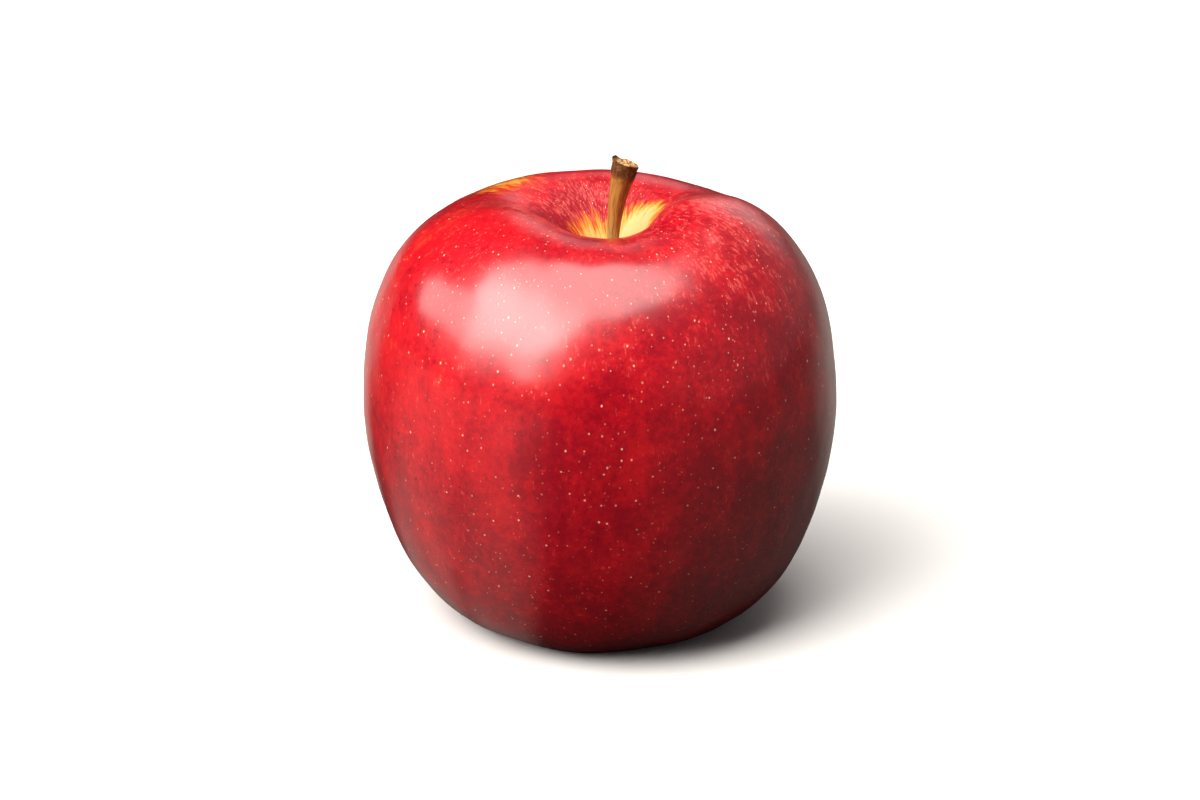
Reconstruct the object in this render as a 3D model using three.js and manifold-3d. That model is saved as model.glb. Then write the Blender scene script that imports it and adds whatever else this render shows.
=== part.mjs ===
// A ripe apple standing on its calyx end: the fruit, the stalk in its cavity, and the dried calyx underneath.
// Millimetres, +Z up. The origin is on the ground under the middle of the fruit, and -Y is the fruit's front.
import * as THREE from "three";
import { NURBSCurve } from "three/addons/curves/NURBSCurve.js";
import { mergeVertices } from "three/addons/utils/BufferGeometryUtils.js";
import Module from "manifold-3d";

const wasm = await Module();
wasm.setup();

// Driving dimensions.
const WAIST = 37.7; // height of the widest ring
const CROWN = 69.7; // height of the rim round the stalk's cavity
const CROWN_RADIUS = 16; // radius of that rim
const FOOT_RADIUS = 18; // radius of the ring that the fruit stands on
const FOOT_BAND = 7; // how far the lobes of the foot reach from that ring
const GAP = 0.4; // clearance between neighbouring pieces

const FRUIT_SEGMENTS = 80;
const FRUIT_RINGS = 44;
const STALK_SEGMENTS = 20;
const STALK_RINGS = 16;
const SEPAL_STEPS = [4, 10, 1]; // across it, along it and through it
const SAME_POINT = 1e-4; // vertices closer than this are one

// Half outline of the fruit, from its cavity to its calyx: the control points of a cubic B-spline, as radius
// and height. Its ends mirror across the axis, so the surface crosses the axis level.
const OUTLINE = [
  [0, 57.7],
  [2.4, 58.1],
  [4.8, 61.5],
  [7.8, 65.8],
  [12.6, 68.9],
  [18.9, 69.9],
  [26, 67.6],
  [33.2, 61],
  [38.1, 50.4],
  [39.5, 36.1],
  [37.4, 21.3],
  [32.5, 8.7],
  [25.8, 1],
  [18, -0.7],
  [11.5, 1.7],
  [7.5, 6.7],
  [4.5, 10.7],
  [0, 11.7],
];

// How the grown fruit leaves a turned shape, as waves round its axis: how many to a turn, how large, and the
// direction in degrees of one crest. Rises are in millimetres, and swells are shares of the radius.
const CROWN_RISES = [
  [1, 0.2, 0],
  [2, 0.65, 0],
  [3, 1, -21],
  [4, 0.15, -11],
  [5, 0.25, -11],
];
const CROWN_SWELLS = [
  [2, 0.0025, 34],
  [3, 0.0145, 33],
  [4, 0.0065, -44],
  [5, 0.003, 36],
];
const FOOT_SWELLS = [
  [2, 0.012, -80],
  [5, 0.003, -18],
];
const FOOT_RISES = [[5, 0.35, 18]]; // the five lobes that touch the ground lie between these crests

const CROWN_SHIFT = -0.4; // the crown leans this far along X
const CAVITY_SHIFT = 1.6; // and the stalk's cavity lies this far along it
const SOCKET = { radius: 1.4, floor: 53.5 }; // the hole in the cavity's floor that the stalk grows from

const STALK_FOOT = 0.85; // radius in the socket
const STALK_END = 2.1; // radius at the cut end
const STALK_FLARE = 2.5; // power of its length by which it widens
const STALK_SLANT = 0.25; // slope of the cut, which falls to +X
const STALK_CUT = 12; // power of its length by which its rings turn to that slope
const STALK_LINE = [
  [1.6, 0, 54],
  [1.65, 0, 58],
  [2.1, 0, 63.5],
  [2.55, 0, 68.3],
  [3.25, 0, 72.2],
  [4.1, 0, 76.3],
];

const CALYX_FLOOR = 11.3;
const SEPALS = 5;
const SEPAL = {
  width: 2.9,
  thickness: 0.5,
  tip: 0.12, // share of its width that is left at its tip
  taper: 1.3, // power of its length by which it narrows
  turn: -17, // direction of the first one, in degrees
};
const SEPAL_LINE = [
  [3.7, 0, 9.6],
  [3.4, 0, 8],
  [2.6, 0, 6.6],
  [1.9, 0, 5.6],
  [2.6, 0, 4.9],
];
const TUFT = { radius: 1.5, thickness: 0.7 };
const STAMEN = { count: 10, radius: 0.16, tipRadius: 0.096, length: 3.2, sides: 6 };

// The two rings that the stamens stand in: a share of the disc's radius, and their lean out in radians.
const STAMEN_RINGS = [
  { share: 0.75, lean: 0.06 },
  { share: 0.3, lean: 0.15 },
];

const smoothstep = (x) => THREE.MathUtils.smoothstep(x, 0, 1);
const radians = THREE.MathUtils.degToRad;
const vectors = (points) => points.map((p) => new THREE.Vector3(...p));

// The sum of a list of waves in one direction.
const wavesAt = (waves, angle) =>
  waves.reduce((sum, [turns, size, crest]) => sum + size * Math.cos(turns * (angle - radians(crest))), 0);

// Half outline as points from the calyx up, with the stalk's socket cut into the cavity's floor.
function fruitProfile() {
  const mirror = ([radius, height]) => [-radius, height];
  const controls = [mirror(OUTLINE[1]), ...OUTLINE, mirror(OUTLINE.at(-2))];
  const degree = 3;
  const knots = Array.from({ length: controls.length + degree + 1 }, (_, i) => i);
  const points = controls.map(([radius, height]) => new THREE.Vector4(radius, height, 0, 1));
  const curve = new NURBSCurve(degree, knots, points, degree, controls.length);
  const skin = curve.getPoints(FRUIT_RINGS).map((p) => new THREE.Vector2(p.x, p.y));
  const outside = skin.filter((p) => p.x > SOCKET.radius + GAP || p.y < WAIST);
  outside.at(-1).x = 0;
  return [
    ...outside.reverse(),
    new THREE.Vector2(SOCKET.radius, skin[0].y),
    new THREE.Vector2(SOCKET.radius, SOCKET.floor),
    new THREE.Vector2(0, SOCKET.floor),
  ];
}

// Moves a point of the turned shape to where the grown fruit has it.
function grown(point) {
  const radius = Math.hypot(point.x, point.y);
  const angle = Math.atan2(point.y, point.x);
  const up = smoothstep((point.z - WAIST) / (CROWN - WAIST));
  const down = smoothstep((WAIST - point.z) / WAIST);
  const offAxis = smoothstep(radius / CROWN_RADIUS);
  const onFoot = down * down * Math.exp(-(((radius - FOOT_RADIUS) / FOOT_BAND) ** 2));
  const swell = 1 + up * wavesAt(CROWN_SWELLS, angle) + down * wavesAt(FOOT_SWELLS, angle);
  point.z += up * offAxis * wavesAt(CROWN_RISES, angle) + onFoot * wavesAt(FOOT_RISES, angle);
  point.x *= swell;
  point.y *= swell;
  point.x += up * offAxis * CROWN_SHIFT;
  if (up > 0) point.x += (1 - offAxis) * CAVITY_SHIFT;
  point.z = Math.max(point.z, 0); // it stands on the ground
  return point;
}

// Runs a function over every vertex of a geometry.
function eachVertex(geometry, move) {
  const place = geometry.getAttribute("position");
  const point = new THREE.Vector3();
  for (let i = 0; i < place.count; i++) {
    move(point.fromBufferAttribute(place, i));
    place.setXYZ(i, point.x, point.y, point.z);
  }
  geometry.computeVertexNormals();
  return geometry;
}

// Bends a straight piece, which runs along +Y from 0 to 1, onto a curve. Its X turns to the side given.
function bent(geometry, line, side) {
  const curve = new THREE.CatmullRomCurve3(vectors(line));
  return eachVertex(geometry, (point) => {
    const along = THREE.MathUtils.clamp(point.y, 0, 1);
    const middle = curve.getPointAt(along);
    const forward = curve.getTangentAt(along);
    const across = side.clone().addScaledVector(forward, -side.dot(forward)).normalize();
    const out = across.clone().cross(forward);
    middle.addScaledVector(across, point.x).addScaledVector(forward, (point.y - along) * curve.getLength());
    point.copy(middle.addScaledVector(out, point.z));
  });
}

function material(colour, roughness) {
  return new THREE.MeshStandardMaterial({ color: colour, roughness, metalness: 0 });
}

function named(name, geometry, look) {
  const mesh = new THREE.Mesh(geometry, look);
  mesh.name = name;
  return mesh;
}

const skinLook = material(0xb3121d, 0.3);
const stalkLook = material(0x8a5a2b, 0.75);
const calyxLook = material(0x5c4a36, 0.9);

// LatheGeometry turns about +Y, so the fruit is stood up before it is shaped.
function fruit() {
  const turned = new THREE.LatheGeometry(fruitProfile(), FRUIT_SEGMENTS).rotateX(Math.PI / 2);
  return named("fruit", eachVertex(turned, grown), skinLook);
}

// The stalk widens upwards to its cut end.
function stalk() {
  const radiusAt = (t) => STALK_FOOT + (STALK_END - STALK_FOOT) * t ** STALK_FLARE;
  const side = Array.from({ length: STALK_RINGS + 1 }, (_, i) => {
    const along = i / STALK_RINGS;
    return new THREE.Vector2(radiusAt(along), along);
  });
  const profile = [new THREE.Vector2(0, 0), ...side, new THREE.Vector2(0, 1)];
  const straight = new THREE.LatheGeometry(profile, STALK_SEGMENTS);
  const length = new THREE.CatmullRomCurve3(vectors(STALK_LINE)).getLength();
  eachVertex(straight, (point) => {
    point.y -= (STALK_SLANT * point.x * point.y ** STALK_CUT) / length;
  });
  return named("stalk", bent(straight, STALK_LINE, new THREE.Vector3(1, 0, 0)), stalkLook);
}

// One dried sepal: a thin leaf, widest near its foot, that leans over the calyx and turns out at its tip.
function sepal(index) {
  const leaf = new THREE.BoxGeometry(SEPAL.width, 1, SEPAL.thickness, ...SEPAL_STEPS).translate(0, 0.5, 0);
  eachVertex(leaf, (point) => {
    point.x *= SEPAL.tip + (1 - SEPAL.tip) * Math.cos((Math.PI / 2) * point.y ** SEPAL.taper);
  });
  const mesh = named(`sepal_${index + 1}`, bent(leaf, SEPAL_LINE, new THREE.Vector3(0, 1, 0)), calyxLook);
  mesh.rotation.z = radians(SEPAL.turn + (360 / SEPALS) * index);
  return mesh;
}

// Joins closed geometries into one.
function joined(geometries) {
  const solids = geometries.map((geometry) => {
    geometry.deleteAttribute("normal");
    geometry.deleteAttribute("uv");
    const merged = mergeVertices(geometry, SAME_POINT);
    return new wasm.Manifold(
      new wasm.Mesh({
        numProp: 3,
        vertProperties: merged.getAttribute("position").array,
        triVerts: new Uint32Array(merged.index.array),
      }),
    );
  });
  const { vertProperties, triVerts } = solids.reduce((whole, solid) => whole.add(solid)).getMesh();
  const geometry = new THREE.BufferGeometry();
  geometry.setAttribute("position", new THREE.BufferAttribute(vertProperties, 3));
  geometry.setIndex(new THREE.BufferAttribute(triVerts, 1));
  geometry.computeVertexNormals();
  return geometry;
}

// What is left of the flower's stamens: a small disc with a ring of thin dry threads that hang from it.
function stamenTuft() {
  const disc = new THREE.CylinderGeometry(TUFT.radius, TUFT.radius, TUFT.thickness, 16).rotateX(Math.PI / 2);
  const threads = Array.from({ length: STAMEN.count }, (_, i) => {
    const { share, lean } = STAMEN_RINGS[i % STAMEN_RINGS.length];
    return new THREE.CylinderGeometry(STAMEN.radius, STAMEN.tipRadius, STAMEN.length, STAMEN.sides)
      .rotateX(Math.PI / 2)
      .translate(0, 0, -STAMEN.length / 2)
      .rotateY(lean)
      .translate(TUFT.radius * share, 0, 0)
      .rotateZ(radians((360 / STAMEN.count) * i));
  });
  const mesh = named("stamen_tuft", joined([disc, ...threads]), calyxLook);
  mesh.position.z = CALYX_FLOOR - GAP - TUFT.thickness / 2;
  return mesh;
}

const apple = new THREE.Group();
apple.add(fruit(), stalk(), stamenTuft());
for (let i = 0; i < SEPALS; i++) apple.add(sepal(i));

export default apple;
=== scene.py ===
"""A ripe red apple in a pale studio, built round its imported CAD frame.

The skin, stalk and dried calyx are made here as fine meshes, on the same lines as the CAD pieces they
replace. Shapes are worked out in millimetres and turned to metres when a mesh is made. +Z is up and -Y is
the front.
"""
import math

import bmesh
import bpy
import numpy as np
from mathutils import Matrix, Vector, noise


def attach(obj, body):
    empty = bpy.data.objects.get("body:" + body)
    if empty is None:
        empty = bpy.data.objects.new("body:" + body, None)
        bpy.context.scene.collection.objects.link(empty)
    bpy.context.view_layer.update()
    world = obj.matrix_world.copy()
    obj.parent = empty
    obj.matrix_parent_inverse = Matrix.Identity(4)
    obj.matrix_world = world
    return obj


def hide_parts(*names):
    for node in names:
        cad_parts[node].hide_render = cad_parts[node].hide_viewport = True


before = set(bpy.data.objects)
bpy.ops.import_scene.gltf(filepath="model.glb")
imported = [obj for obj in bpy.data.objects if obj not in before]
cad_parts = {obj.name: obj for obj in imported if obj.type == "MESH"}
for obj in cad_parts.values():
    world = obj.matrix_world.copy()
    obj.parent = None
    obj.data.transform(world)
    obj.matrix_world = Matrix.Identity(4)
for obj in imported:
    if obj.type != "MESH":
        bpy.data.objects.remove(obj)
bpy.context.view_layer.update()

MM = 0.001

# The fruit's own dimensions in millimetres, which part.mjs also has.
WAIST = 37.7  # height of the widest ring
CROWN = 69.7  # height of the rim round the stalk's cavity
CROWN_RADIUS = 16  # where the waves on top reach their full size
FOOT_RADIUS = 18  # of the ring that it stands on
FOOT_BAND = 7  # how far the lobes of the foot reach from that radius
GIRTH = 39  # radius of the widest ring

# Half of the outline: radius and height of a B-spline's control points, from the cavity to the calyx.
OUTLINE = [
    (0, 57.7), (2.4, 58.1), (4.8, 61.5), (7.8, 65.8), (12.6, 68.9), (18.9, 69.9),
    (26, 67.6), (33.2, 61), (38.1, 50.4), (39.5, 36.1), (37.4, 21.3), (32.5, 8.7),
    (25.8, 1), (18, -0.7), (11.5, 1.7), (7.5, 6.7), (4.5, 10.7), (0, 11.7),
]

# Waves round the axis, each as (crests, size, direction of one crest in degrees). A rise is in millimetres
# and a swell is a share of the radius.
CROWN_RISES = [(1, 0.2, 0), (2, 0.65, 0), (3, 1, -21), (4, 0.15, -11), (5, 0.25, -11)]
CROWN_SWELLS = [(2, 0.0025, 34), (3, 0.0145, 33), (4, 0.0065, -44), (5, 0.003, 36)]
FOOT_SWELLS = [(2, 0.012, -80), (5, 0.003, -18)]
FOOT_RISES = [(5, 0.35, 18)]
CROWN_SHIFT = -0.4  # how far the top is moved to the right
CAVITY_SHIFT = 1.6  # how far the cavity in it is

STALK_FOOT = 0.85  # radius
STALK_END = 2.1  # radius
STALK_FLARE = 2.5  # power of its length by which it widens
STALK_SLANT = 0.25  # slope of the cut
STALK_CUT = 12  # power of its length by which its rings turn to that slope
STALK_COLLAR = 0.83  # share of its length where the rough bark starts
STALK_DISH = 0.25  # depth of the cut's hollow
STALK_LINE = [
    (1.6, 0, 54), (1.65, 0, 58), (2.1, 0, 63.5), (2.55, 0, 68.3), (3.25, 0, 72.2), (4.1, 0, 76.3),
]

CALYX_FLOOR = 11.3
SEPALS = 5
SEPAL_WIDTH = 2.9
SEPAL_THICKNESS = 0.3
SEPAL_TIP = 0.12  # share of its width that is left at its tip
SEPAL_TAPER = 1.3  # power of its length by which it narrows
SEPAL_CUP = 0.16  # how far it has bent at 1 mm from its middle line
SEPAL_LINE = [(3.7, 0, 9.6), (3.4, 0, 8), (2.6, 0, 6.6), (1.9, 0, 5.6), (2.6, 0, 4.9)]
SEPAL_ROOT = (4, 0, 10.5)  # where it joins the basin's wall
SEPAL_TURN = -17  # direction of the first one, in degrees
STAMENS = 14
STAMEN_LENGTH = 2.9
STAMEN_RADIUS = 0.11
INNER_RING = 0.45  # radii of the two rings of stamens on the cushion
OUTER_RING = 1.1
NUB_RISE = 0.14  # how much thicker a stamen is at its nub
CUSHION_RADIUS = 1.5

SKIN_RINGS = 250
SKIN_SEGMENTS = 320
SKIN_LUMPS = [(0.28, 12), (0.1, 5)]  # height and width, in millimetres
PUCKER_DEPTH = 0.5  # of the ring round the stalk's foot
CONTACT_SOFTNESS = 0.12  # how gently the foot flattens on the ground, in millimetres


# ---------------------------------------------------------------- curves and shapes

def smoothstep(x):
    x = np.clip(x, 0, 1)
    return x * x * (3 - 2 * x)


def bump_at(x, middle, width):
    """A smooth hump, 1 at its middle."""
    return np.exp(-(((x - middle) / width) ** 2))


def bspline(controls, per_span=24):
    """Points on the uniform cubic B-spline through a list of control points."""
    p = np.array(controls, float)
    t = np.linspace(0, 1, per_span, endpoint=False)[:, None]
    weights = [(1 - t) ** 3, 3 * t**3 - 6 * t**2 + 4, -3 * t**3 + 3 * t**2 + 3 * t + 1, t**3]
    spans = [sum(w * p[i + k] for k, w in enumerate(weights)) / 6 for i in range(len(p) - 3)]
    last = (p[-3] + 4 * p[-2] + p[-1]) / 6
    return np.vstack([*spans, last])


def smooth_line(points, shares):
    """Points on the smooth curve through a list of points, at the given shares of its length."""
    p = np.array(points, float)
    p = np.vstack([2 * p[0] - p[1], p, 2 * p[-1] - p[-2]])
    t = np.linspace(0, 1, 24, endpoint=False)[:, None]
    spans = [
        b + t / 2 * (c - a) + t**2 * (a - 2.5 * b + 2 * c - d / 2) + t**3 * (1.5 * (b - c) + (d - a) / 2)
        for a, b, c, d in zip(p, p[1:], p[2:], p[3:])
    ]
    return placed(np.vstack([*spans, p[-2]]), shares)[0]


def placed(points, shares):
    """Points at shares of the length of a line, and how far along it each one lies."""
    steps = np.linalg.norm(np.diff(points, axis=0), axis=1)
    along = np.concatenate([[0], np.cumsum(steps)])
    wanted = np.asarray(shares) * along[-1]
    return np.stack([np.interp(wanted, along, c) for c in points.T], -1), wanted


def waves(terms, angle):
    """The sum of some waves round the axis."""
    return sum(size * np.cos(turns * (angle - math.radians(crest))) for turns, size, crest in terms)


def half_outline(count):
    """The turned fruit's outline from the cavity to the calyx, closest at its ends, and its arc length."""
    mirror = np.array([-1, 1])
    controls = [OUTLINE[1] * mirror, *OUTLINE, OUTLINE[-2] * mirror]
    steps = np.linspace(0, 1, count)
    closer_at_ends = 0.65
    shares = steps - closer_at_ends * np.sin(2 * np.pi * steps) / (2 * np.pi)
    return placed(bspline(controls), shares)


def grown(radius, height, angle):
    """Where the grown fruit has a point of the turned shape."""
    up = smoothstep((height - WAIST) / (CROWN - WAIST))
    down = smoothstep((WAIST - height) / WAIST)
    off_axis = smoothstep(radius / CROWN_RADIUS)
    on_foot = down * down * bump_at(radius, FOOT_RADIUS, FOOT_BAND)
    swell = 1 + up * waves(CROWN_SWELLS, angle) + down * waves(FOOT_SWELLS, angle)
    z = height + up * off_axis * waves(CROWN_RISES, angle) + on_foot * waves(FOOT_RISES, angle)
    x = radius * swell * np.cos(angle) + up * off_axis * CROWN_SHIFT
    x = x + (height > WAIST) * (1 - off_axis) * CAVITY_SHIFT
    y = radius * swell * np.sin(angle)
    return np.stack([x, y, z], -1)


def noise_at(places, scale, seed=0):
    """Smooth noise from -1 to 1 at each place, with features of about that many millimetres."""
    flat = places.reshape(-1, 3) / scale + seed * 17.3
    return np.array([noise.noise(p) for p in flat.tolist()]).reshape(places.shape[:-1])


def normals_of(points):
    """The outward direction at each point of a closed ring of rings."""
    down = np.gradient(points, axis=0)
    round_it = np.roll(points, -1, 1) - np.roll(points, 1, 1)
    normal = np.cross(down, round_it)
    return normal / np.maximum(np.linalg.norm(normal, axis=-1, keepdims=True), 1e-9)


def swept(line, side, across, out, forward):
    """Points round a line: how far each lies across it, out from it and along it."""
    tangent = np.gradient(line, axis=0)
    tangent /= np.linalg.norm(tangent, axis=1, keepdims=True)
    aside = side - (tangent @ side)[:, None] * tangent
    aside /= np.linalg.norm(aside, axis=1, keepdims=True)
    outward = np.cross(aside, tangent)
    parts = zip((aside, outward, tangent), (across, out, forward))
    return line[:, None] + sum(way[:, None] * far[..., None] for way, far in parts)


def kept_moving(line, upwards):
    """A line with a tiny rise or fall at each point, so that repeated points still have a direction."""
    return line + np.array([0, 0, 1e-6 * upwards]) * np.arange(len(line))[:, None]


def turned(points, degrees):
    """Points turned about the vertical axis."""
    a = math.radians(degrees)
    x, y, z = np.moveaxis(points, -1, 0)
    return np.stack([x * math.cos(a) - y * math.sin(a), x * math.sin(a) + y * math.cos(a), z], -1)


# ---------------------------------------------------------------- meshes

def tube_mesh(name, points, attributes, heights=None, uv_box=(0, 0, 1, 1)):
    """A closed mesh from rings of points, whose first and last rings are single points repeated.

    Each attribute holds a value, or a vector, for each point. The map OFBake unrolls the tube into uv_box,
    with each ring at its own share of the box's height.
    """
    rings, segments = points.shape[:2]
    vertices = by_vertex(points) * MM
    if heights is None:
        heights = np.linspace(0, 1, rings)

    def index(ring, segment):
        if ring == 0:
            return 0
        if ring == rings - 1:
            return len(vertices) - 1
        return 1 + (ring - 1) * segments + segment % segments

    faces = []
    places = []
    for i in range(rings - 1):
        for j in range(segments):
            corners = [(i, j), (i + 1, j), (i + 1, j + 1), (i, j + 1)]
            if i == 0:
                corners = [(0, j + 0.5), (1, j), (1, j + 1)]
            if i == rings - 2:
                corners = [(i, j), (rings - 1, j + 0.5), (i, j + 1)]
            faces.append([index(ring, int(segment)) for ring, segment in corners])
            places.extend(corners)
    mesh = bpy.data.meshes.new(name)
    mesh.from_pydata(vertices.tolist(), [], faces)
    u0, v0, u1, v1 = uv_box
    places = np.array(places, float)
    along = heights[places[:, 0].astype(int)]
    uv = np.stack([u0 + (u1 - u0) * places[:, 1] / segments, v1 - (v1 - v0) * along], -1)
    mesh.uv_layers.new(name="OFBake").data.foreach_set("uv", uv.astype(np.float32).ravel())
    for key, values in attributes.items():
        put_attribute(mesh, key, values)
    mesh.polygons.foreach_set("use_smooth", [True] * len(mesh.polygons))
    mesh.update()
    return mesh


def by_vertex(values):
    """A value for each ring and segment, as one for each vertex of a tube."""
    return np.concatenate([values[:1, 0], values[1:-1].reshape(-1, *values.shape[2:]), values[-1:, 0]])


def put_attribute(mesh, name, values):
    is_vector = values.ndim == 3
    layer = mesh.attributes.new(name, "FLOAT_VECTOR" if is_vector else "FLOAT", "POINT")
    layer.data.foreach_set("vector" if is_vector else "value", by_vertex(values).astype(np.float32).ravel())


def joined(name, meshes):
    """One mesh that holds them all."""
    whole = bmesh.new()
    for mesh in meshes:
        whole.from_mesh(mesh)
        bpy.data.meshes.remove(mesh)
    mesh = bpy.data.meshes.new(name)
    whole.to_mesh(mesh)
    whole.free()
    return mesh


def add_piece(mesh, material, slot, *nodes):
    """Puts a mesh in the scene as a piece that stands for CAD nodes."""
    piece = bpy.data.objects.new(mesh.name, mesh)
    bpy.context.scene.collection.objects.link(piece)
    mesh.materials.append(material)
    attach(piece, "root")
    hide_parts(*nodes)
    return piece


# ---------------------------------------------------------------- materials

class Nodes:
    """A short way to add nodes to a tree. Each method gives the new node's output."""

    def __init__(self, tree):
        self.tree = tree

    def fill(self, socket, value):
        """Links an output to a socket, or sets a plain value on it."""
        if isinstance(value, bpy.types.NodeSocket):
            self.tree.links.new(value, socket)
        elif socket.type == "RGBA":
            socket.default_value = (*value, 1)
        else:
            socket.default_value = value

    def add(self, kind, inputs, output=0, **settings):
        node = self.tree.nodes.new(kind)
        for key, value in settings.items():
            setattr(node, key, value)
        for key, value in inputs.items():
            self.fill(node.inputs[key], value)
        return node.outputs[output]

    def vector(self, name):
        """A mesh attribute."""
        return self.add("ShaderNodeAttribute", {}, "Vector", attribute_name=name)

    def value(self, name):
        return self.add("ShaderNodeAttribute", {}, "Fac", attribute_name=name)

    def noise(self, place, size, detail=2.0, roughness=0.5):
        """Noise from 0 to 1 with features of about that many millimetres."""
        inputs = {"Vector": place, "Scale": 1 / size, "Detail": detail, "Roughness": roughness}
        return self.add("ShaderNodeTexNoise", inputs, "Fac")

    def scattered(self, place, size):
        """The distance to the nearest of many scattered points, in millimetres, and its random number."""
        inputs = {"Vector": place, "Scale": 1 / size}
        distance = self.add("ShaderNodeTexVoronoi", inputs, "Distance")
        return self.math("MULTIPLY", distance, size), distance.node.outputs["Color"]

    def math(self, operation, a, b):
        return self.add("ShaderNodeMath", {0: a, 1: b}, operation=operation)

    def sum(self, base, *terms):
        """A value plus some others, each moved to be about 0 and scaled: (value, middle, share)."""
        for value, middle, share in terms:
            base = self.math("ADD", base, self.math("MULTIPLY", self.math("SUBTRACT", value, middle), share))
        return base

    def product(self, first, *others):
        for other in others:
            first = self.math("MULTIPLY", first, other)
        return first

    def between(self, value, low, high, to_low=0.0, to_high=1.0, kind="SMOOTHSTEP"):
        """A step from to_low to to_high, as the value goes from low to high."""
        inputs = {"Value": value, "From Min": low, "From Max": high, "To Min": to_low, "To Max": to_high}
        return self.add("ShaderNodeMapRange", inputs, interpolation_type=kind)

    def mix(self, share, a, b):
        """Colour a, or as much of colour b as the share says."""
        node = self.tree.nodes.new("ShaderNodeMix")
        node.data_type = "RGBA"
        sockets = {socket.identifier: socket for socket in node.inputs}
        self.fill(sockets["Factor_Float"], share)
        self.fill(sockets["A_Color"], a)
        self.fill(sockets["B_Color"], b)
        return next(socket for socket in node.outputs if socket.identifier == "Result_Color")

    def ramp(self, value, *stops):
        """A colour that runs through stops of (value, colour)."""
        node = self.tree.nodes.new("ShaderNodeValToRGB")
        self.fill(node.inputs[0], value)
        elements = node.color_ramp.elements
        while len(elements) < len(stops):
            elements.new(0.5)
        for element, (place, colour) in zip(elements, stops):
            element.position = place
            element.color = (*colour, 1)
        return node.outputs["Color"]

    def bump(self, height, depth, under=None):
        """A surface raised by depth, in millimetres, where the height is 1."""
        inputs = {"Height": height, "Distance": depth * MM}
        if under is not None:
            inputs["Normal"] = under
        return self.add("ShaderNodeBump", inputs)


class Look(Nodes):
    """A material, and its nodes."""

    def __init__(self, name):
        self.material = bpy.data.materials.new(name)
        self.material.use_nodes = True
        super().__init__(self.material.node_tree)
        self.shader = self.tree.nodes["Principled BSDF"]

    def set(self, **values):
        """Sets the shader's sockets, by their names with _ for a space."""
        for name, value in values.items():
            self.fill(self.shader.inputs[name.replace("_", " ")], value)


CRIMSON = (0.26, 0.0003, 0.008)
SCARLET = (0.51, 0.004, 0.010)
VERMILION = (0.62, 0.04, 0.013)
ORANGE = (0.60, 0.10, 0.010)
GOLD = (0.58, 0.27, 0.03)
PALE_YELLOW = (0.60, 0.44, 0.17)
CREAM = (0.90, 0.52, 0.34)
PINK = (0.72, 0.13, 0.11)

FLECK_AND_PAINTED_SHEEN_STRENGTH = 0.43

# Millimetres. An edge is the radii where a pore starts and stops fading out.
PORE_SPACING = 2.0
PORE_EDGE = (0.08, 0.24)
PORE_RELIEF = 0.02
FAINT_PORE_SPACING = 1.1
FAINT_PORE_EDGE = (0.07, 0.17)
SKIN_RELIEF = 0.02


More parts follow.
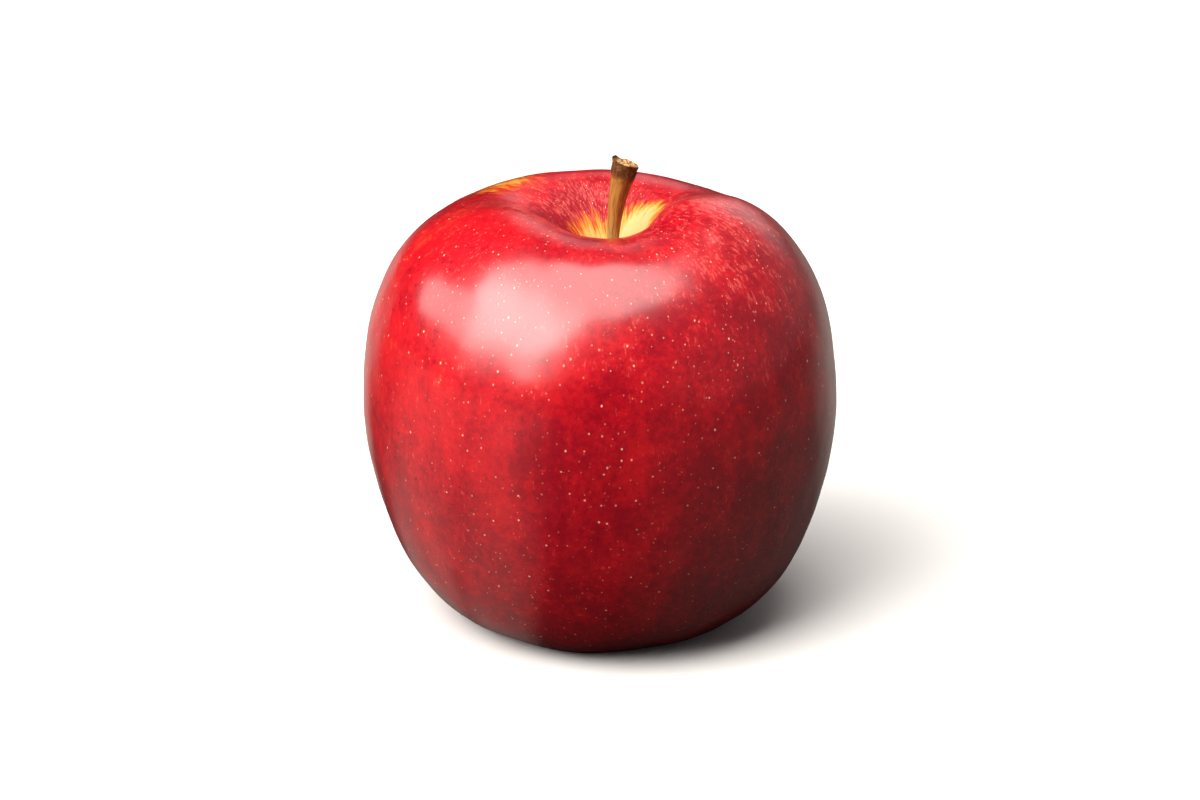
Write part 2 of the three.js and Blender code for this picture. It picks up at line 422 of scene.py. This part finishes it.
def skin_material():
    """Red blush over a yellow ground, with painted light and shade in the red: long streaks, a fine mottle,
    pink dashes that are partly painted highlight and painted reflection, and pale lenticels on top.
    """
    look = Look("apple_skin")
    place = look.vector("place")
    streaks = look.vector("streaks")
    dots = look.vector("dots")

    broad = look.noise(place, 13, 2)
    patch = look.noise(place, 4, 2, 0.6)
    band = look.noise(streaks, 5, 2)
    streak = look.noise(streaks, 1.6, 3, 0.6)
    fine_streak = look.noise(streaks, 0.6, 2, 0.6)
    mottle = look.noise(place, 1.1, 3, 0.7)
    grain = look.noise(place, 0.35, 1)

    # The blush, with painted light on the left and painted shade on the cavity's left wall. As the tone rises
    # from 0, crimson turns to scarlet, and past 1 to vermilion.
    tone = look.sum(look.value("tone"), (broad, 0.5, 1.4), (patch, 0.5, 1.1), (band, 0.5, 0.6))
    tone = look.sum(tone, (streak, 0.5, 0.5), (mottle, 0.5, 1.5), (grain, 0.5, 0.6))
    red = look.mix(look.between(tone, -0.1, 1), CRIMSON, SCARLET)
    red = look.mix(look.between(tone, 0.9, 1.7), red, VERMILION)

    # Pink fleck marks in short dashes, most of them where the amount is high; round the cavity some are
    # painted highlight on the right of the rim and painted reflection on the front lip and the back wall.
    dash = look.noise(look.vector("dashes"), 0.5, 3, 0.7)
    fleck_and_painted_sheen_amount = look.value("fleck_and_painted_sheen_amount")
    flecks_and_painted_sheen = look.sum(dash, (mottle, 0.5, 0.35), (patch, 0.5, 0.5))
    flecks_and_painted_sheen = look.sum(flecks_and_painted_sheen, (fine_streak, 0.5, fleck_and_painted_sheen_amount), (fleck_and_painted_sheen_amount, 0.5, 0.16))
    red = look.mix(look.between(flecks_and_painted_sheen, 0.57, 0.78, 0, FLECK_AND_PAINTED_SHEEN_STRENGTH), red, PINK)

    # The ground colour comes through from 0 up, and the yellower the higher.
    bare = look.sum(look.value("ground"), (streak, 0.5, 1.3), (fine_streak, 0.5, 0.7), (patch, 0.5, 0.4))
    bare = look.add("ShaderNodeClamp", {"Value": bare})
    ground = look.ramp(bare, (0.0, ORANGE), (0.3, ORANGE), (0.55, GOLD), (0.9, PALE_YELLOW))
    colour = look.mix(look.between(bare, 0, 0.5), red, ground)

    # Strong pores all over, and faint ones between them where the skin is pored.
    pore, pore_number = look.scattered(dots, PORE_SPACING)
    pore = look.between(pore, *PORE_EDGE, 1, 0)
    pore = look.math("MULTIPLY", pore, look.between(pore_number, 0.15, 0.9, 0.2, 1))
    faint, faint_number = look.scattered(dots, FAINT_PORE_SPACING)
    faint = look.between(faint, *FAINT_PORE_EDGE, 1, 0)
    faint = look.product(faint, look.between(faint_number, 0.2, 0.8, 0.1, 0.8), look.value("pored"))
    pores = look.math("MAXIMUM", pore, faint)
    colour = look.mix(pores, colour, CREAM)

    relief = look.bump(look.noise(place, 0.4, 2, 0.6), SKIN_RELIEF)
    relief = look.bump(pore, PORE_RELIEF, relief)
    dull = look.value("dull")
    roughness = look.sum(0.32, (mottle, 0.5, 0.2), (broad, 0.5, 0.1), (pores, 0, 0.2), (dull, 0, 0.4))
    wax = look.between(dull, 0, 1, 1, 0)
    look.set(Base_Color=colour, Roughness=roughness, Normal=relief)
    look.set(IOR=1.45, Specular_IOR_Level=0.3, Coat_Weight=wax, Coat_Roughness=0.2, Coat_IOR=1.5)
    return look.material


TAN = (0.38, 0.165, 0.032)
OLIVE = (0.42, 0.32, 0.11)
BARK = (0.16, 0.055, 0.011)
DARK_BARK = (0.06, 0.019, 0.005)
PALE_WOOD = (0.62, 0.38, 0.16)


def stalk_material():
    """Ridged wood: olive at its foot, tan above, dark bark round its end and pale torn fibres on the cut."""
    look = Look("stalk_wood")
    place = look.vector("place")
    fibres = look.vector("fibres")
    along = look.value("along")

    grain = look.noise(fibres, 0.5, 3, 0.65)
    broad = look.noise(fibres, 1.6, 2)
    pits = look.noise(place, 0.4, 3, 0.7)

    wood = look.mix(look.between(along, 0.25, 0.65), OLIVE, TAN)
    wood = look.mix(look.between(grain, 0.42, 0.72, 0, 0.75), wood, BARK)
    wood = look.mix(look.between(broad, 0.5, 0.8, 0, 0.5), wood, DARK_BARK)
    bark = look.mix(look.between(pits, 0.35, 0.65), DARK_BARK, BARK)
    collar = look.sum(along, (broad, 0.5, 0.12), (pits, 0.5, 0.1))
    wood = look.mix(look.between(collar, 0.84, 0.91), wood, bark)
    torn = look.mix(look.between(pits, 0.42, 0.58), BARK, PALE_WOOD)
    colour = look.mix(look.value("cut"), wood, torn)

    relief = look.bump(pits, 0.05, look.bump(grain, 0.08))
    look.set(Base_Color=colour, Roughness=look.between(grain, 0.3, 0.7, 0.55, 0.85), Normal=relief)
    look.set(Specular_IOR_Level=0.2)
    return look.material


FELT = (0.20, 0.155, 0.10)
DARK_FELT = (0.065, 0.043, 0.026)
DOWN = (0.42, 0.36, 0.27)


def calyx_material():
    """Dry and felted, with pale down over a dark brown leaf."""
    look = Look("dried_calyx")
    place = look.vector("place")
    fibres = look.vector("fibres")
    patches = look.noise(place, 1.2, 3, 0.6)
    hairs = look.noise(fibres, 0.22, 3, 0.7)
    colour = look.mix(look.between(patches, 0.35, 0.65), DARK_FELT, FELT)
    colour = look.mix(look.between(hairs, 0.5, 0.7, 0, 0.7), colour, DOWN)
    look.set(Base_Color=colour, Roughness=look.between(hairs, 0.3, 0.7, 0.75, 0.95))
    look.set(Normal=look.bump(hairs, 0.08), Sheen_Weight=0.2, Sheen_Roughness=0.5)
    return look.material


# ---------------------------------------------------------------- the fruit

PORE_STRETCH = 0.8  # the arc counts for this share of itself, so the pores on it are longer
STREAK_LENGTH = 9  # times their width
SHOULDER_PATCH = (20, 137, 32)  # the orange patch's radius and direction from the axis, and half its width


def skin_attributes(points, radius, height, arc, angle):
    """What the skin's colours need to know at each point. Directions are in degrees from +X towards +Y."""
    everywhere = np.ones_like(points[..., 0])
    upper = height > WAIST
    crown = smoothstep((height - WAIST) / (CROWN - WAIST)) * everywhere
    cos, sin = np.cos(angle) * everywhere, np.sin(angle) * everywhere

    def turn_from(middle):
        return (np.degrees(angle) * everywhere - middle + 180) % 360 - 180

    def facing(middle, width):
        """1 in one direction from the axis, falling smoothly to each side."""
        return bump_at(turn_from(middle), 0, width)

    # Above the waist the pores are stretched along the lines that run to the stalk.
    halfway = (GIRTH + radius) / 2
    above_waist = (arc[np.argmax(height < WAIST)] - arc) * everywhere
    above = np.stack([halfway * cos, halfway * sin, WAIST + above_waist * PORE_STRETCH], -1)
    dots = np.where((crown > 0)[..., None], above, points)
    streaks = np.stack([halfway * cos, halfway * sin, arc * everywhere / STREAK_LENGTH], -1)

    # The tone says how light the red is: the blush, plus painted light that makes the left side lighter, more
    # so higher up, and painted shade on the cavity's left wall.
    left = facing(185, 60) * smoothstep((height - 10) / 45)
    right_of_crown = facing(20, 60) * crown
    # Painted shade: the cavity's left wall, turned away from the softbox, is made darker.
    painted_shade_left_of_cavity = facing(170, 60) * smoothstep((14 - radius) / 4) * upper
    tone = 0.3 + 0.6 * left + 0.2 * right_of_crown - painted_shade_left_of_cavity

    # The ground says how far the yellow comes through: in the cavity, in the basin and on one shoulder.
    cavity_reach = 7 + 6 * facing(38, 26) + 1.2 * facing(110, 30)
    in_cavity = np.where(upper, (cavity_reach - radius) / 5 + 0.1, -1)
    in_basin = np.where(upper, -1, (9 - radius) / 6)
    patch_radius, patch_way, patch_width = SHOULDER_PATCH
    patch_reach = np.where(radius < patch_radius, 8, 17)
    patch_edge = np.hypot((radius - patch_radius) / patch_reach, turn_from(patch_way) / patch_width)
    on_shoulder = 0.6 - 0.85 * patch_edge - np.maximum(WAIST - height, 0) / 40
    ground = np.maximum(np.maximum(in_cavity, on_shoulder), in_basin)

    # Painted highlight on the right of the rim, and painted reflection on the front lip and the cavity's back
    # wall, given as pale pink dashes over the real fleck marks.
    painted_highlight_on_rim = bump_at(radius, 18, 6) * facing(3, 28)
    painted_reflection_on_lip = bump_at(radius, 13, 3) * facing(-145, 50)
    painted_reflection_in_cavity = smoothstep((17 - radius) / 5) * facing(100, 55)
    fleck_and_painted_sheen_amount = 0.3 + 0.6 * facing(-25, 45) + 1.3 * painted_highlight_on_rim + painted_reflection_on_lip + painted_reflection_in_cavity
    return {
        "place": points,
        "dots": dots,
        "streaks": streaks,
        "dashes": streaks * [1, 1, 2.2],
        "tone": tone,
        "ground": ground,
        "fleck_and_painted_sheen_amount": fleck_and_painted_sheen_amount * crown,
        "pored": 0.3 + 0.35 * smoothstep((34 - height) / 26) + 0.65 * crown,
        "dull": smoothstep((16 - radius) / 6) * everywhere,
    }


def make_skin():
    """The skin, with small lumps, a puckered ring round the stalk and a foot flattened on the ground."""
    outline, arc = half_outline(SKIN_RINGS)
    radius, height, arc = outline[:, :1], outline[:, 1:], arc[:, None]
    angle = np.linspace(-1.5 * np.pi, 0.5 * np.pi, SKIN_SEGMENTS, endpoint=False)[None, :]
    points = grown(radius, height, angle)
    pucker = bump_at(radius, 0.8, 0.5) - bump_at(radius, 1.9, 0.7)
    points[..., 2] += PUCKER_DEPTH * pucker * (height > WAIST)
    attributes = skin_attributes(points, radius, height, arc, angle)
    lumps = sum(size * noise_at(points, width, seed) for seed, (size, width) in enumerate(SKIN_LUMPS))
    lumps = lumps * smoothstep(radius / 6)
    points = points + normals_of(points) * lumps[..., None]
    z = points[..., 2]
    points[..., 2] = np.where(height > WAIST, z, (z + np.sqrt(z * z + CONTACT_SOFTNESS**2)) / 2)
    mesh = tube_mesh("apple_skin", points, attributes, arc[:, 0] / arc[-1, 0])
    return add_piece(mesh, skin_material(), "skin", "fruit")


# ---------------------------------------------------------------- the stalk

def make_stalk():
    """Its rings run up its side at a full share of its radius, and then inwards across the cut."""
    side_rings, end_rings, segments = 110, 16, 96
    up = np.concatenate([[0], np.linspace(0, 1, side_rings), np.ones(end_rings)])[:, None]
    share = np.concatenate([[0], np.ones(side_rings), np.linspace(1, 0, end_rings + 1)[1:]])[:, None]
    angle = np.linspace(0, 2 * np.pi, segments, endpoint=False)[None, :]
    line = smooth_line(STALK_LINE, up[:, 0])
    length = np.linalg.norm(np.diff(line, axis=0), axis=1).sum()

    cos, sin = np.cos(angle), np.sin(angle)
    along = up * length
    straight = np.stack([cos + 0 * up, sin + 0 * up, along + 0 * angle], -1)
    fibres = straight * [1.5, 1.5, 0.12]
    radius = STALK_FOOT + (STALK_END - STALK_FOOT) * up**STALK_FLARE
    ridges = 0.07 * noise_at(fibres, 0.9) + 0.035 * noise_at(fibres, 0.35, 2)
    lumps = 0.05 * noise_at(straight * [1, 1, 0.5], 1.1, 3)
    rough = 0.06 + 0.1 * noise_at(straight * [2, 2, 1], 0.8, 4)
    collar = rough * smoothstep((up - STALK_COLLAR) / 0.06)
    pinch = -0.05 * bump_at(up, 0.985, 0.02)
    swell = 1 + ridges + lumps + collar + pinch
    across = radius * swell * share * cos
    out = radius * swell * share * sin
    at_end = smoothstep((up - 0.94) / 0.06)
    flat = np.stack([across, out, 0 * across], -1)
    torn = 0.3 * noise_at(flat, 1.1, 5) + 0.18 * noise_at(flat, 0.45, 6)
    dished = -STALK_DISH * (1 - share**2)
    forward = -STALK_SLANT * across * up**STALK_CUT + at_end * (torn + dished - 0.1)

    points = swept(kept_moving(line, 1), np.array([1.0, 0, 0]), across, out, forward)
    attributes = {
        "place": np.stack([across, out, along + forward], -1),
        "fibres": fibres,
        "along": up + 0 * angle,
        "cut": smoothstep((0.97 - share) / 0.06) * (up > 0.5) * np.ones_like(angle),
    }
    steps = np.abs(np.diff(up[:, 0])) * length + np.abs(np.diff(share[:, 0])) * STALK_END
    reach = np.concatenate([[0], np.cumsum(steps)])
    mesh = tube_mesh("apple_stalk", points, attributes, reach / reach[-1])
    return add_piece(mesh, stalk_material(), "stalk", "stalk")


# ---------------------------------------------------------------- the dried calyx

def make_sepal(index, material):
    """A thin curled leaf, cupped across, with a wavy edge and a tip that turns out."""
    rings, segments = 60, 40
    up = np.linspace(0, 1, rings)[:, None]
    angle = np.linspace(0, 2 * np.pi, segments, endpoint=False)[None, :]
    width = SEPAL_TIP + (1 - SEPAL_TIP) * np.cos(np.pi / 2 * up**SEPAL_TAPER)
    width = width * smoothstep(up / 0.02) * smoothstep((1 - up) / 0.04) * SEPAL_WIDTH / 2
    across = width * np.cos(angle)
    where = np.stack([across, 0 * across + index * 9, up * 6 + 0 * angle], -1)
    across = across * (1 + 0.18 * noise_at(where, 1.3, index))
    wave = 0.3 * noise_at(where, 1.6, index + 10) + 0.1 * noise_at(where, 0.6, index + 20)
    cupped = -SEPAL_CUP * across**2
    thickness = SEPAL_THICKNESS / 2 * np.minimum(1, width / SEPAL_THICKNESS)
    out = thickness * np.sin(angle) + cupped + wave * np.minimum(1, width)
    line = smooth_line([SEPAL_ROOT, *SEPAL_LINE], up[:, 0])
    points = swept(line, np.array([0, 1.0, 0]), across, out, 0 * across)
    points = turned(points, SEPAL_TURN + 360 / SEPALS * index)
    attributes = {"place": points, "fibres": where * [1.6, 1, 0.25]}
    mesh = tube_mesh(f"calyx_leaf_{index + 1}", points, attributes)
    return add_piece(mesh, material, "calyx", f"sepal_{index + 1}")


def thread(line, radius_at, uv_box):
    """A thin dry thread along a line, as thick as radius_at says at each share of its length."""
    rings, segments = 26, 10
    up = np.concatenate([[0], np.linspace(0, 1, rings), [1]])[:, None]
    share = np.concatenate([[0], np.ones(rings), [0]])[:, None]
    angle = np.linspace(0, 2 * np.pi, segments, endpoint=False)[None, :]
    radius = radius_at(up) * share
    middle = kept_moving(smooth_line(line, up[:, 0]), -1)
    radius = radius * (1 + 0.2 * noise_at(middle[:, None] + 0 * angle[..., None], 0.5))
    points = swept(middle, np.array([1.0, 0, 0]), radius * np.cos(angle), radius * np.sin(angle), 0 * radius)
    attributes = {"place": points, "fibres": points * [1, 1, 0.3]}
    return tube_mesh("thread", points, attributes, uv_box=uv_box)


def make_stamens(material):
    """A low cushion at the calyx floor, and dry threads that hang from it, each with a nub at its tip."""
    cells = STAMENS + 1

    def cell(index):
        """A column of the map of its own for each thread."""
        return (index / cells + 0.002, 0, (index + 1) / cells - 0.002, 1)

    cushion_line = [(0, 0, CALYX_FLOOR + rise) for rise in (0.3, -0.4, -1.1)]
    parts = [thread(cushion_line, lambda up: CUSHION_RADIUS * np.sqrt(np.clip(1.02 - up**4, 0, 1)), cell(0))]
    for i in range(STAMENS):
        ring = INNER_RING if i % 3 == 0 else OUTER_RING
        lean = noise.noise((i * 3.1, 0.5, 0))
        reach = STAMEN_LENGTH + 0.8 * noise.noise((i * 1.7, 2.5, 0))
        top = CALYX_FLOOR - 0.9
        line = [
            (ring, 0, top),
            (ring + 0.1, 0.2 * lean, top - reach * 0.35),
            (ring + 0.25 * lean, 0.5 * lean, top - reach * 0.7),
            (ring - 0.3 + 0.7 * lean, 0.9 * lean, top - reach),
        ]
        line = turned(np.array(line), 360 / STAMENS * i + 12 * lean)
        parts.append(thread(line, lambda up: STAMEN_RADIUS + NUB_RISE * bump_at(up, 0.94, 0.06), cell(i + 1)))
    return add_piece(joined("stamens", parts), material, "calyx", "stamen_tuft")


# ---------------------------------------------------------------- studio

CAMERA_ELEVATION = math.radians(20)
CAMERA_DISTANCE = 0.55  # metres
CAMERA_TARGET = Vector((0, 0, 0.03555))
CAMERA_LENS = 100  # millimetres, on a 36 mm wide sensor


def make_camera():
    """In front and above, looking at a point on the axis about halfway up the fruit."""
    data = bpy.data.cameras.new("camera")
    data.lens = CAMERA_LENS
    data.sensor_width = 36
    camera = bpy.data.objects.new("camera", data)
    bpy.context.scene.collection.objects.link(camera)
    back = Vector((0, -math.cos(CAMERA_ELEVATION), math.sin(CAMERA_ELEVATION)))
    camera.location = CAMERA_TARGET + back * CAMERA_DISTANCE
    camera.rotation_mode = "QUATERNION"
    camera.rotation_quaternion = (-back).to_track_quat("-Z", "Y")
    bpy.context.scene.camera = camera


# Painted pools of light on the floor, which the skin reflects: azimuth from the front and width, in degrees,
# and share.
FLOOR_PATCHES = [(-42, 44, 0.6), (-80, 64, 0.6), (-148, 44, 0.9), (142, 64, 0.6), (75, 150, 0.2)]
FLOOR_TO_EYE = (0.8, 0.79, 0.78)
FLOOR_AS_LIGHT = (0.02, 0.019, 0.017)
PATCH_AS_LIGHT = (0.28, 0.26, 0.24)


def make_floor():
    """Pale to the eye. To all other rays it is dark with brighter patches of painted light, so it doesn't
    veil the skin.
    """
    bpy.ops.mesh.primitive_plane_add(size=8)
    floor = bpy.context.object
    floor.name = "floor"
    look = Look("floor")
    place = look.add("ShaderNodeTexCoord", {}, "Object")
    outward = look.add("ShaderNodeVectorMath", {0: place}, "Vector", operation="NORMALIZE")
    bright = 0.0
    for azimuth, width, share in FLOOR_PATCHES:
        way = (math.sin(math.radians(azimuth)), -math.cos(math.radians(azimuth)), 0)
        towards = look.add("ShaderNodeVectorMath", {0: outward, 1: way}, "Value", operation="DOT_PRODUCT")
        edge = math.cos(math.radians(width / 2))
        bright = look.math("MAXIMUM", bright, look.between(towards, edge, 1, 0, share))
    as_light = look.mix(bright, FLOOR_AS_LIGHT, PATCH_AS_LIGHT)
    seen = look.add("ShaderNodeLightPath", {}, "Is Camera Ray")
    look.set(Base_Color=look.mix(seen, as_light, FLOOR_TO_EYE), Roughness=0.9, Specular_IOR_Level=0.1)
    floor.data.materials.append(look.material)


SOFTBOX_AZIMUTH = math.radians(-60)  # from the front, to the left
SOFTBOX_ELEVATION = math.radians(60)
SOFTBOX_DISTANCE = 1.2  # metres
SOFTBOX_COLOUR = (1, 0.96, 0.92)
SOFTBOX_FRAME = (-1.5, -1.05, 0.7, 1.45)  # its left, foot, right and top, in softbox distances
SOFTBOX_STRENGTH = 5.6
PATCH_STRENGTH = 4.7  # how much brighter the patch on it is


def make_softbox():
    """A soft light over the left front, facing the fruit: a tall panel, a low wing and a brighter patch."""
    a, e = SOFTBOX_AZIMUTH, SOFTBOX_ELEVATION
    back = Vector((math.cos(e) * math.sin(a), -math.cos(e) * math.cos(a), math.sin(e)))
    right = Vector((0, 0, 1)).cross(back).normalized()
    up = back.cross(right)
    x0, y0, x1, y1 = SOFTBOX_FRAME
    middle = back + right * (x0 + x1) / 2 + up * (y0 + y1) / 2
    data = bpy.data.lights.new("softbox", "AREA")
    data.shape = "RECTANGLE"
    data.size = (x1 - x0) * SOFTBOX_DISTANCE
    data.size_y = (y1 - y0) * SOFTBOX_DISTANCE
    data.energy = math.pi * data.size * data.size_y
    data.color = SOFTBOX_COLOUR
    lamp = bpy.data.objects.new("softbox", data)
    bpy.context.scene.collection.objects.link(lamp)
    turn = Matrix((right, up, back)).transposed().to_4x4()
    lamp.matrix_world = Matrix.Translation(middle * SOFTBOX_DISTANCE) @ turn
    lamp.visible_camera = False

    data.use_nodes = True
    nodes = Nodes(data.node_tree)
    share = nodes.add("ShaderNodeNewGeometry", {}, "Parametric")
    ragged = nodes.noise(share, 0.12, 2)
    x_share = nodes.add("ShaderNodeSeparateXYZ", {0: share}, "X")
    y_share = x_share.node.outputs["Y"]
    x = nodes.sum(nodes.between(x_share, 0, 1, x0, x1, "LINEAR"), (ragged, 0.5, 0.35))
    y = nodes.sum(nodes.between(y_share, 0, 1, y0, y1, "LINEAR"), (ragged, 0.5, 0.35))

    def within(value, low, high, soft=0.08):
        """1 between two values, with soft edges."""
        rise = nodes.between(value, low - soft, low + soft)
        return nodes.math("MULTIPLY", rise, nodes.between(value, high - soft, high + soft, 1, 0))

    panel = nodes.product(within(x, -0.3, 0.55), within(y, -0.95, 1.2))
    wing = nodes.product(within(x, -1.3, -0.3), within(y, -0.85, -0.35), 0.75)
    patch = nodes.product(within(x, -0.3, 0.55, 0.2), within(y, -0.6, 0.1, 0.25))
    brightness = nodes.math("ADD", nodes.math("MULTIPLY", patch, PATCH_STRENGTH), SOFTBOX_STRENGTH)
    brightness = nodes.product(brightness, nodes.math("MAXIMUM", panel, wing))
    nodes.fill(data.node_tree.nodes["Emission"].inputs["Strength"], brightness)


WALL_DIRECTION = Vector((0.32, 0.83, 0.46)).normalized()
WALL_STRENGTH = 0.9
WORLD_TO_EYE = (0.86, 0.85, 0.84)


def make_world():
    """Pale to the eye. To all other rays it is dim, less so on the right, with a bright wall behind."""
    world = bpy.data.worlds.new("studio")
    world.use_nodes = True
    nodes = Nodes(world.node_tree)
    place = nodes.add("ShaderNodeTexCoord", {}, "Generated")
    to_right = nodes.add("ShaderNodeSeparateXYZ", {0: place}, "X")
    ways = {0: place, 1: WALL_DIRECTION}
    to_wall = nodes.add("ShaderNodeVectorMath", ways, "Value", operation="DOT_PRODUCT")
    dim = nodes.between(to_right, 0, 0.9, 0.02, 0.28)
    wall = nodes.between(to_wall, 0.9, 1, 0, WALL_STRENGTH)
    as_light = nodes.add("ShaderNodeBackground", {"Strength": nodes.math("ADD", dim, wall)})
    to_eye = nodes.add("ShaderNodeBackground", {"Color": WORLD_TO_EYE})
    seen = nodes.add("ShaderNodeLightPath", {}, "Is Camera Ray")
    mixed = nodes.add("ShaderNodeMixShader", {0: seen, 1: as_light, 2: to_eye})
    nodes.fill(world.node_tree.nodes["World Output"].inputs["Surface"], mixed)
    bpy.context.scene.world = world


make_camera()
make_skin()
make_stalk()
calyx = calyx_material()
for sepal in range(SEPALS):
    make_sepal(sepal, calyx)
make_stamens(calyx)

make_floor()
make_softbox()
make_world()
bpy.context.scene.view_settings.view_transform = "Standard"
